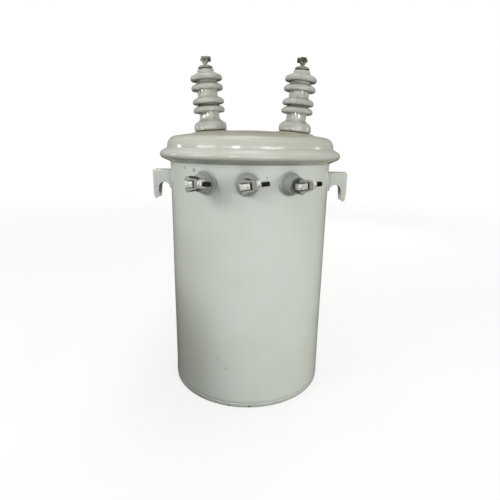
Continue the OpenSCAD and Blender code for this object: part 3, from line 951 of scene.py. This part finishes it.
class TRANSFORMER_OT_band(bpy.types.Operator):
    """Adds the rolled clamp band with its ears, and the bolt and nut that close it"""

    bl_idname = "transformer.band"
    bl_label = "Clamp band"

    def execute(self, context):
        mm = Millimetres("band")
        nose_x = width("clamp_band") / 2 - mm.nose
        top_in = TANK_R + Millimetres("cover").step + 0.2
        low_in = TANK_R + 0.2

        def flanks(radius, back):
            """Outline from the upper lip round the nose to the lower lip, or back."""
            top, low = math.degrees(mm.top_slope), math.degrees(mm.low_slope)
            nose = arc(nose_x, TANK_TOP, radius, 90 - top, low - 90, 12)
            upper = (top_in, nose[0][1] + (nose[0][0] - top_in) * math.tan(mm.top_slope), 0.7)
            lower = (low_in, nose[-1][1] - (nose[-1][0] - low_in) * math.tan(mm.low_slope), 0.7)
            line = [upper, *nose, lower]
            return line[::-1] if back else line

        opening = 2 * math.degrees(math.asin(mm.split / 2 / nose_x))
        band = turned(flanks(mm.nose, False) + flanks(mm.nose - mm.sheet, True), around=240, closed=True,
                      sweep=360 - opening)
        moved(band, turn(90 + opening / 2, "Z"))
        bolt_low, bolt_high = low_high("band_bolt")
        bolt_y = (bolt_low.y + bolt_high.y) / 2
        ears = []
        for side in (-1, 1):
            root, tip, half = nose_x - 3, bolt_y + 15, 15
            ear = plate([(root, -half), (tip, -half, 14.5), (tip, half, 14.5), (root, half)], mm.ear, steps=8)
            ear = softened(ear, 0.8)
            start = mm.split / 2 if side > 0 else -mm.split / 2 - mm.ear
            ears.append(moved(ear, shift(start, 0, TANK_TOP) @ turn(90, "Y") @ turn(90, "Z")))
        piece("clamp_band_ring", joined(band, *ears), finish("band_enamel"), ["clamp_band"],
              weighted=True)

        along = shift(bolt_low.x, bolt_y, TANK_TOP) @ turn(90, "Y")
        sunk = BAND_HEAD[1] - 1
        shank = thread(BAND_THREAD[0], bolt_high.x - bolt_low.x - sunk, BAND_THREAD[1], bare=22)
        bolt = joined(hexagon(*BAND_HEAD), moved(shank, shift(z=sunk)))
        piece("band_bolt_zinc", moved(bolt, along), finish("zinc_plate"), ["band_bolt"])
        nut_low, _ = low_high("band_nut")
        nut = hexagon(*BAND_NUT, hole=BAND_THREAD[0] + 0.1)
        moved(nut, shift(nut_low.x, bolt_y, TANK_TOP) @ turn(90, "Y"))
        piece("band_nut_zinc", nut, finish("zinc_plate"), ["band_nut"])
        return {"FINISHED"}


class TRANSFORMER_OT_lugs(bpy.types.Operator):
    """Adds the two folded lifting lugs at the sides with their welds"""

    bl_idname = "transformer.lugs"
    bl_label = "Lifting lugs"

    def execute(self, context):
        mm = Millimetres("lug")
        weld = Millimetres("tank")
        for name, side in PAIR.items():
            low, high = low_high("lifting_lug_" + name)
            out, wide, tall = max(high.x, -low.x), high.y - low.y, high.z - low.z
            root, arch_x, web = TANK_R - 1.2, TANK_R + 22, 18
            crown, rounding = 32 + mm.arch, mm.arch * 0.97
            cheek = [(root, tall), (out, tall, mm.fold), (out, web), (out - 4, 0, 4.2), (out - 14, 0, 4.2),
                     (arch_x + mm.arch, 30, 3), (arch_x + mm.arch, crown, rounding),
                     (arch_x - mm.arch, crown, rounding), (arch_x - mm.arch, 31, 1.5), (root, 31)]
            shape = drawn(cheek, face=True, steps=6)

            def on_web(vert):
                """The sheet runs over the top and down the outer end, between the cheeks."""
                x, z = vert.co.x, vert.co.z
                return z > tall - NEAR or (x > out - mm.fold - NEAR and z > web - NEAR)

            edges = [edge for edge in shape.edges if all(on_web(vert) for vert in edge.verts)]
            carried(shape, bmesh.ops.extrude_edge_only(shape, edges=edges), (0, wide, 0))
            faces = [face for face in shape.faces if abs(face.normal.y) > 0.9]
            carried(shape, bmesh.ops.duplicate(shape, geom=faces), (0, wide, 0))
            bmesh.ops.remove_doubles(shape, verts=shape.verts, dist=NEAR)
            bmesh.ops.recalc_face_normals(shape, faces=shape.faces)
            folds = [e for e in shape.edges if e.is_manifold and e.calc_face_angle() > math.radians(60)]
            bmesh.ops.bevel(
                shape, geom=folds, offset=mm.fold * 0.8, offset_type="OFFSET", segments=6, profile=0.5,
                affect="EDGES", material=-1, clamp_overlap=True,
            )
            moved(shape, shift(y=-wide / 2, z=low.z))
            shape = softened(thickened(shape, mm.sheet, "z"), 0.7, sharper_than=50)
            beads = []
            for edge in (-1, 1):
                outer = shift(TANK_R - 0.9, edge * (wide / 2 - 0.5), low.z + 32)
                inner = shift(TANK_R - 0.4, edge * (wide / 2 - mm.sheet), low.z + 33)
                beads.append(moved(bead(tall - 34, weld.bead, weld.ripple), outer))
                beads.append(moved(bead(tall - 40, weld.bead * 0.9, weld.ripple), inner))
            level = shift(TANK_R - 0.2, -wide / 2 + 2, high.z - 0.6) @ turn(-90, "X")
            beads.append(moved(bead(wide - 4, weld.bead * 1.1, weld.ripple), level))
            whole = joined(shape, *beads)
            if side < 0:
                moved(whole, turn(180, "Z"))
            piece("lifting_lug_sheet_" + name, whole, finish("tank_enamel"),
                  ["lifting_lug_" + name], weighted=True)
        return {"FINISHED"}


class TRANSFORMER_OT_hangers(bpy.types.Operator):
    """Adds the two folded hangers that hold the tank on its pole"""

    bl_idname = "transformer.hangers"
    bl_label = "Pole hangers"

    def execute(self, context):
        mm = Millimetres("lug")
        weld = Millimetres("tank")
        for name in ("lower", "upper"):
            low, high = low_high("hanger_" + name)
            tall, half = high.z - low.z, (high.x - low.x) / 2
            root = math.sqrt(TANK_R**2 - half**2) - 1
            shape = drawn([(-half, root), (-half, high.y, mm.hanger_fold), (half, high.y, mm.hanger_fold),
                           (half, root)], flat=True, closed=False, steps=8)
            carried(shape, bmesh.ops.extrude_edge_only(shape, edges=shape.edges[:]), (0, 0, tall))
            shape = thickened(shape, mm.hanger_sheet, "y")
            side, end, rounding = mm.slot_w / 2, mm.slot_l / 2, mm.slot_w * 0.49
            slot = plate([(-side, -end, rounding), (side, -end, rounding), (side, end, rounding),
                          (-side, end, rounding)], 3 * mm.hanger_sheet, steps=8)
            moved(slot, shift(0, high.y + mm.hanger_sheet, tall / 2) @ turn(90, "X"))
            shape = softened(cut(shape, slot), 0.8, sharper_than=50)
            beads = [moved(bead(tall - 4, weld.bead * 1.2, weld.ripple),
                           shift(edge * (half - 0.4), root + 1.4, 2)) for edge in (-1, 1)]
            piece("pole_hanger_" + name, moved(joined(shape, *beads), shift(z=low.z)),
                  finish("tank_enamel"), ["hanger_" + name], weighted=True)
        return {"FINISHED"}


class TRANSFORMER_OT_lv_bushings(bpy.types.Operator):
    """Adds the three stepped porcelain bushings of the low voltage side and their seal rings"""

    bl_idname = "transformer.lv_bushings"
    bl_label = "Low voltage bushings"

    def execute(self, context):
        mm = Millimetres("lv")
        seal = width("lv_gasket_middle") / 2
        foot = width("lv_porcelain_middle") / 2
        back = TANK_R + mm.gasket_t
        front = LV_FRONT - back
        body = mm.body_d / 2
        for name, side in SIDES.items():
            ring = turned([(seal - 9, TANK_R - 4), (seal, TANK_R - 4), (seal, TANK_R + 1.6, 1.0),
                           (seal - 1.2, TANK_R + 2.8, 0.7), (seal - 2.0, TANK_R + 2.2, 0.3),
                           (seal - 2.6, back - 0.1, 0.5), (seal - 9, back - 0.1)], closed=True)
            piece("lv_seal_" + name, moved(ring, on_wall(side)), finish("painted_seal"),
                  ["lv_gasket_" + name])
            steps = [(0, 0), (foot - 0.8, 0, 0.4), (foot, 1, 0.6), (foot, 3.2, 1.2), (foot - 2.0, 4.0, 0.5),
                     (foot - 2.6, 5.6, 0.6), (body + 4.2, 6.4, 0.4), (body + 4.2, 11, 2.4),
                     (body + 1.4, 13, 1.6), (body + 0.2, 17.5, 1.2), (body, front - 5, 0.6),
                     (body, front, 8.5), (0, front)]
            porcelain = moved(turned(steps, steps=5), on_wall(side) @ shift(z=back))
            piece("lv_bushing_" + name, porcelain, finish("lv_glaze"), ["lv_porcelain_" + name])
        return {"FINISHED"}


class TRANSFORMER_OT_lv_clamps(bpy.types.Operator):
    """Adds the cast clamp of each low voltage bushing: yoke, ribbed pad, screw and nut"""

    bl_idname = "transformer.lv_clamps"
    bl_label = "Low voltage clamps"

    def execute(self, context):
        mm = Millimetres("lv")
        right = mm.yoke_l - 13.5
        left, half = right - mm.yoke_l, mm.yoke_h / 2
        waist, end = half - mm.yoke_waist, half - mm.yoke_taper
        axis = TANK_R + mm.screw_out
        back, front = axis - mm.yoke_w / 2, axis + mm.yoke_w / 2 + 1
        gap = mm.opening / 2
        upper = [(left, gap, 1.0), (left, half - 4, 2.4), (left + 4, half, 2.4), (left + 10, half, 1.6),
                 (left + 14.5, waist, 2.2), (right - 4, end + 1.6, 2.6), (right, end - 1.6, 1.6)]
        inside = [(right - mm.yoke_end, -gap, 2.2), (right - mm.yoke_end, gap, 2.2)]
        outline = upper + [(x, -z, rounding) for x, z, rounding in reversed(upper)] + inside
        neck_r, hub_r, neck_from = mm.neck_d / 2, mm.hub_d / 2, LV_FRONT - 2
        neck = [(0, neck_from), (neck_r, neck_from), (neck_r, back - 6, 1.5), (hub_r, back - 5, 1.6),
                (hub_r, back - 0.5, 1.6), (hub_r - 3, back + 1, 1), (0, back + 1)]
        boss_end = [(0, 0), (9.6, 0), (9.6, 4.5, 1.2), (8.6, 5.4, 0.6), (0, 5.4)]

        start, teeth = -16, 4
        pitch, valley = mm.pad_l / teeth, front - mm.rib
        comb = [(start, back + 2), (start, valley, 0.4)]
        for tooth in range(teeth):
            at = start + tooth * pitch
            comb += [(at + 0.9, valley, 0.4), (at + 1.5, front, 0.5), (at + pitch - 1.2, front, 0.5),
                     (at + pitch - 0.6, valley, 0.3)]
        screw_from = start + mm.pad_l
        comb += [(screw_from, valley, 0.4), (screw_from, back + 2)]
        hole, washer_r, washer_t = mm.screw_d / 2 + 0.2, mm.nut_w / 2 + 1.5, 2

        for name in SIDES:
            here = on_bushing(name)
            along = here @ shift(z=axis) @ turn(90, "Y")
            arms = welded(softened(plate(outline, mm.yoke_w, steps=5), 1.7, segments=3, sharper_than=50))
            boss = moved(turned(boss_end, around=48), shift(right - 5.5, 0, axis) @ turn(90, "Y"))
            yoke = joined(moved(arms, shift(z=back)), turned(neck, around=72), boss)
            piece("lv_yoke_cast_" + name, moved(yoke, here), finish("wiped_casting"),
                  ["lv_yoke_" + name], weighted=True)

            pad = softened(plate(comb, mm.pad_h, steps=2), 0.45, sharper_than=70)
            moved(pad, here @ shift(y=mm.pad_h / 2) @ turn(90, "X"))
            piece("lv_pad_ribbed_" + name, pad, finish("zinc_plate"), ["lv_pad_" + name])

            screw = thread(mm.screw_d, right + mm.nut_t + mm.screw_end - screw_from, mm.pitch, tip=2.2)
            piece("lv_screw_thread_" + name, moved(screw, along @ shift(z=screw_from)),
                  finish("black_steel"), ["lv_screw_" + name])

            washer = turned([(hole, 0), (washer_r, 0), (washer_r, washer_t), (hole, washer_t)], around=64,
                            closed=True)
            nut = hexagon(mm.nut_w, mm.nut_t - washer_t, hole=2 * hole)
            moved(nut, shift(z=washer_t) @ turn(30, "Z"))
            piece("lv_nut_zinc_" + name, moved(joined(softened(washer, 0.4), nut), along @ shift(z=right)),
                  finish("fresh_zinc"), ["lv_nut_" + name])
        return {"FINISHED"}


class TRANSFORMER_OT_hv_bushings(bpy.types.Operator):
    """Adds the two tall shedded bushings on the cover with their gaskets"""

    bl_idname = "transformer.hv_bushings"
    bl_label = "High voltage bushings"

    def execute(self, context):
        mm = Millimetres("hv")
        barrel, rim, reach, top = mm.barrel_d / 2, mm.shed_rim, mm.shed_d / 2, HV_TOP
        for name in PAIR:
            here = on_cover(name)
            thick = hv_gasket_t(lean_of(name))
            seal = width("hv_gasket_" + name) / 2
            foot, cap = disc_radius("hv_porcelain_" + name), disc_radius("hv_cap_" + name)
            ring = turned([(seal - 14, 0), (seal, 0), (seal, thick), (seal - 14, thick)], closed=True)
            piece("hv_seal_" + name, moved(softened(ring, 0.7), here), finish("gasket_rubber"),
                  ["hv_gasket_" + name])

            line = [(0, 0), (foot - 2, 0, 1), (foot, 3.5, 2.5), (foot - 0.6, 17, 4), (foot - 5, 22.4, 3),
                    (barrel + 6, 27, 4), (barrel + 0.8, 31.5, 3), (barrel, 35, 1)]
            for z in HV_SHEDS:
                line += [(barrel, z - 5.4, 1.8), (reach - rim, z - rim + 0.6, 2), (reach, z - rim, 6.2),
                         (reach, z + rim - 1.5, 6.2)]
                if z != HV_SHEDS[-1]:
                    line += [(barrel + 4, z + rim + 4.6, 3), (barrel, z + rim + 6.4, 1.5)]
            line += [(cap + 5.5, top - 9, 3), (cap + 3, top - 6.5, 1.6), (cap + 3, top - 0.2, 1.4),
                     (cap - 1, top, 0.8), (0, top)]
            shape = moved(turned(line, around=128, steps=6), here @ shift(z=thick))
            piece("hv_bushing_" + name, shape, finish("hv_glaze_" + name),
                  ["hv_porcelain_" + name])
        return {"FINISHED"}


class TRANSFORMER_OT_hv_terminals(bpy.types.Operator):
    """Adds the caps, eye terminals and clamp screws of the tall bushings"""

    bl_idname = "transformer.hv_terminals"
    bl_label = "High voltage terminals"

    def execute(self, context):
        waist, half, eye_top, notch_half = 5, 9, 35.4, 5.6
        for name, side in PAIR.items():
            base = on_cover(name) @ shift(z=hv_gasket_t(lean_of(name)) + HV_TOP)
            cap = disc_radius("hv_cap_" + name)
            lid = turned([(0, 0), (cap - 5, 0), (cap - 5, 2.8, 0.5), (cap, 3.2, 0.9), (cap, 8, 1.8),
                          (cap - 4.5, 8.4, 0.8), (cap - 6, 10.8, 1), (0, 11)])
            piece("hv_cap_tinned_" + name, moved(lid, base), finish("tinned_casting"),
                  ["hv_cap_" + name])

            eye = [(-waist, 11), (waist, 11), (waist, 15.5, 1.5), (half, 21, 2), (half, eye_top, 3.2),
                   (-half, eye_top, 3.2), (-half, 21, 2), (-waist, 15.5, 1.5)]
            mouth = 33 if side > 0 else 38
            notch = plate([(-notch_half, mouth, 1.2), (-notch_half, 27, 1.5), (0, 20.5, 1.5),
                           (notch_half, 27, 1.5), (notch_half, mouth, 1.2)], 30)
            body = cut(softened(plate(eye, 15), 1.2, segments=3, sharper_than=40), moved(notch, shift(z=9.5)))
            body = welded(softened(body, 0.3, segments=1, sharper_than=60))
            moved(body, shift(y=7.5) @ turn(90, "X"))
            metal = finish("worn_steel" if side > 0 else "tinned_casting")
            piece("hv_terminal_eye_" + name, moved(body, base), metal, ["hv_terminal_" + name])

            shank = moved(thread(TERMINAL_THREAD[0], 22, TERMINAL_THREAD[1], bare=18), shift(z=-10))
            screw = joined(moved(hexagon(*TERMINAL_HEAD), shift(z=-17)), shank)
            along = base @ shift(z=27) @ turn(90 * side, "Y")
            piece("hv_screw_bolt_" + name, moved(screw, along), finish("worn_steel"),
                  ["hv_screw_" + name])
        return {"FINISHED"}


# ---- Studio ----


FLOOR_R = 9
ROOM_TONE, WHITE = (0.97, 1.0, 0.965, 1), (1, 1, 1, 1)

# Lamps: place, aim, width, height, tone, and whether they show in reflections.
LAMPS = {
    "key": ((-2.25, -1.5, 1.9), (0, 0, 0.5), 1.0, 1.0, (0.98, 1.0, 0.985), False),
    "fill": ((2.05, -1.75, 0.55), (0, 0, 0.25), 1.4, 0.9, (0.98, 1.0, 0.99), False),
    "back": ((1.0, 2.6, 1.4), (0, 0, 0.4), 1.2, 1.2, (1, 1, 1), False),
    "softbox": ((-0.2, 0.2, 2.4), (0, 0, 0.6), 1.2, 0.8, (1, 1, 1), True),
}

# Far panes stand on a circle round the object: heading in degrees, width, height, share of the windows'
# radiance. The low strips among them show in reflections only.
PANE_CIRCLE, PANE_SILL, PANE_AIM, STRIP = 3.5, 0.72, 0.6, 0.2
PANES = (
    (-104, 0.4, 0.35, 0.9), (-62, 0.55, 0.78, 0.30), (-46, 0.55, 0.78, 0.34), (-30, 0.55, 0.78, 0.34),
    (-14, 0.5, 0.78, 0.5), (4, 0.55, 0.78, 0.26), (22, 0.55, 0.78, 0.36), (40, 0.55, 0.78, 0.3),
    (98, 0.5, 0.4, 0.5), (-17, 0.6, 0.14, 6), (26, 1.5, 0.10, 5), (-60, 1.4, 0.10, 4),
)

# A hanging flag keeps the key light off the tank's lower left: its upper edge, and the height of its
# lower one.
FLAG_EDGE = ((-0.47, -0.58, 0.42), (-0.54, -0.47, 0.55), (-0.62, -0.35, 0.56), (-0.62, 0.25, 0.50))
FLAG_LOW = 0.27


def lamp(name, place, aim, wide, tall, power, tone):
    """A soft rectangular lamp that looks at a point."""
    light = bpy.data.lights.new(name, "AREA")
    light.shape = "RECTANGLE"
    light.size, light.size_y = wide, tall
    light.energy = power
    light.color = tone
    obj = bpy.data.objects.new(name, light)
    obj.location = place
    obj.rotation_euler = (Vector(aim) - Vector(place)).to_track_quat("-Z", "Y").to_euler()
    bpy.context.scene.collection.objects.link(obj)
    return obj


def stage_piece(name, shape, material):
    """A part of the studio, which isn't part of the object."""
    mesh = bpy.data.meshes.new(name)
    shape.to_mesh(mesh)
    shape.free()
    mesh.materials.append(material)
    obj = bpy.data.objects.new(name, mesh)
    bpy.context.scene.collection.objects.link(obj)
    return obj


def add_floor():
    """A pale disc that runs out of sight."""
    ground = bmesh.new()
    bmesh.ops.create_circle(ground, cap_ends=True, segments=96, radius=FLOOR_R)
    stage_piece("studio_floor", ground, floor_finish("studio_floor", 1.4, 5.0))


def add_flag():
    """The hanging flag, which the camera doesn't see."""
    shade = bmesh.new()
    low = [shade.verts.new((x, y, FLAG_LOW)) for x, y, _ in FLAG_EDGE]
    high = [shade.verts.new(corner) for corner in FLAG_EDGE]
    for number in range(len(FLAG_EDGE) - 1):
        shade.faces.new((low[number], low[number + 1], high[number + 1], high[number]))
    stage_piece("studio_flag", shade, flag_finish("studio_flag")).visible_camera = False


def add_room(stage):
    """A plain room, brighter above than below, that the camera sees as a white backdrop."""
    world = bpy.data.worlds.new("studio_room")
    world.use_nodes = True
    tree = world.node_tree
    tree.nodes.clear()

    def add(kind, **values):
        node = tree.nodes.new(kind)
        for name, value in values.items():
            node.inputs[name.replace("_", " ")].default_value = value
        return node

    place, split = add("ShaderNodeTexCoord"), add("ShaderNodeSeparateXYZ")
    height = add("ShaderNodeMapRange", From_Min=-0.35, From_Max=0.95, To_Min=stage.room_low,
                 To_Max=stage.room_high)
    room = add("ShaderNodeBackground", Color=ROOM_TONE)
    backdrop = add("ShaderNodeBackground", Color=WHITE, Strength=1.0)
    path, choose = add("ShaderNodeLightPath"), add("ShaderNodeMixShader")
    out = add("ShaderNodeOutputWorld")
    links = (
        (place.outputs["Generated"], split.inputs[0]),
        (split.outputs["Z"], height.inputs[0]),
        (height.outputs[0], room.inputs["Strength"]),
        (path.outputs["Is Camera Ray"], choose.inputs[0]),
        (room.outputs[0], choose.inputs[1]),
        (backdrop.outputs[0], choose.inputs[2]),
        (choose.outputs[0], out.inputs[0]),
    )
    for source, target in links:
        tree.links.new(source, target)
    bpy.context.scene.world = world


def add_lamps(stage):
    """The lamps near the object, then the far panes."""
    for name, (place, aim, wide, tall, tone, reflected) in LAMPS.items():
        light = lamp(name, place, aim, wide, tall, getattr(stage, name), tone)
        light.visible_glossy = reflected
    for number, (heading, wide, tall, share) in enumerate(PANES):
        toward = Matrix.Rotation(math.radians(heading), 3, "Z") @ Vector((0, -PANE_CIRCLE, 0))
        place = (toward.x, toward.y, PANE_SILL + tall / 2)
        power = math.pi * wide * tall * share * stage.windows
        tone = (0.96 + 0.0004 * heading, 1, 0.975)
        pane = lamp("pane_%d" % number, place, (0, 0, PANE_AIM), wide, tall, power, tone)
        pane.visible_diffuse = tall > STRIP


def add_camera(stage):
    """The camera at its place, turned by its heading, pitch and roll."""
    camera = bpy.data.cameras.new("camera")
    camera.lens = stage.lens
    camera.sensor_width = 36
    camera.clip_start = 0.02
    viewer = bpy.data.objects.new("camera", camera)
    aim = (Matrix.Rotation(stage.heading, 4, "Z") @ Matrix.Rotation(math.pi / 2 - stage.pitch, 4, "X")
           @ Matrix.Rotation(stage.roll, 4, "Z"))
    viewer.matrix_world = shift(stage.camera_x, stage.camera_y, stage.camera_z) @ aim
    bpy.context.scene.collection.objects.link(viewer)
    bpy.context.scene.camera = viewer


class TRANSFORMER_OT_studio(bpy.types.Operator):
    """Adds the pale floor, the soft lights, the room's light and the camera"""

    bl_idname = "transformer.studio"
    bl_label = "Studio"

    def execute(self, context):
        stage = settings("stage")
        add_floor()
        add_room(stage)
        add_lamps(stage)
        add_flag()
        add_camera(stage)
        context.scene.view_settings.view_transform = "Standard"
        context.scene.view_settings.look = "None"
        return {"FINISHED"}


# ---- Panel and registration ----


class TRANSFORMER_PT_panel(bpy.types.Panel):
    bl_label = "Pole Mounted Transformer"
    bl_idname = "TRANSFORMER_PT_panel"
    bl_space_type = "VIEW_3D"
    bl_region_type = "UI"
    bl_category = "Transformer"

    def draw(self, context):
        for operator in OPERATORS:
            self.layout.operator(operator.bl_idname)
        for group, kind in GROUPS.items():
            box = self.layout.box()
            box.label(text=group)
            for name in kind.__annotations__:
                box.prop(settings(group), name)


OPERATORS = (
    TRANSFORMER_OT_tank,
    TRANSFORMER_OT_cover,
    TRANSFORMER_OT_band,
    TRANSFORMER_OT_lugs,
    TRANSFORMER_OT_hangers,
    TRANSFORMER_OT_lv_bushings,
    TRANSFORMER_OT_lv_clamps,
    TRANSFORMER_OT_hv_bushings,
    TRANSFORMER_OT_hv_terminals,
    TRANSFORMER_OT_studio,
)
CLASSES = (*GROUPS.values(), *OPERATORS, TRANSFORMER_PT_panel)


def register():
    for item in CLASSES:
        bpy.utils.register_class(item)
    for group, kind in GROUPS.items():
        setattr(bpy.types.Scene, "transformer_" + group, bpy.props.PointerProperty(type=kind))


def unregister():
    for group in GROUPS:
        delattr(bpy.types.Scene, "transformer_" + group)
    for item in reversed(CLASSES):
        bpy.utils.unregister_class(item)


def main():
    register()
    bpy.ops.transformer.tank()
    bpy.ops.transformer.cover()
    bpy.ops.transformer.band()
    bpy.ops.transformer.lugs()
    bpy.ops.transformer.hangers()
    bpy.ops.transformer.lv_bushings()
    bpy.ops.transformer.lv_clamps()
    bpy.ops.transformer.hv_bushings()
    bpy.ops.transformer.hv_terminals()
    bpy.ops.transformer.studio()


if __name__ == "__main__":
    main()
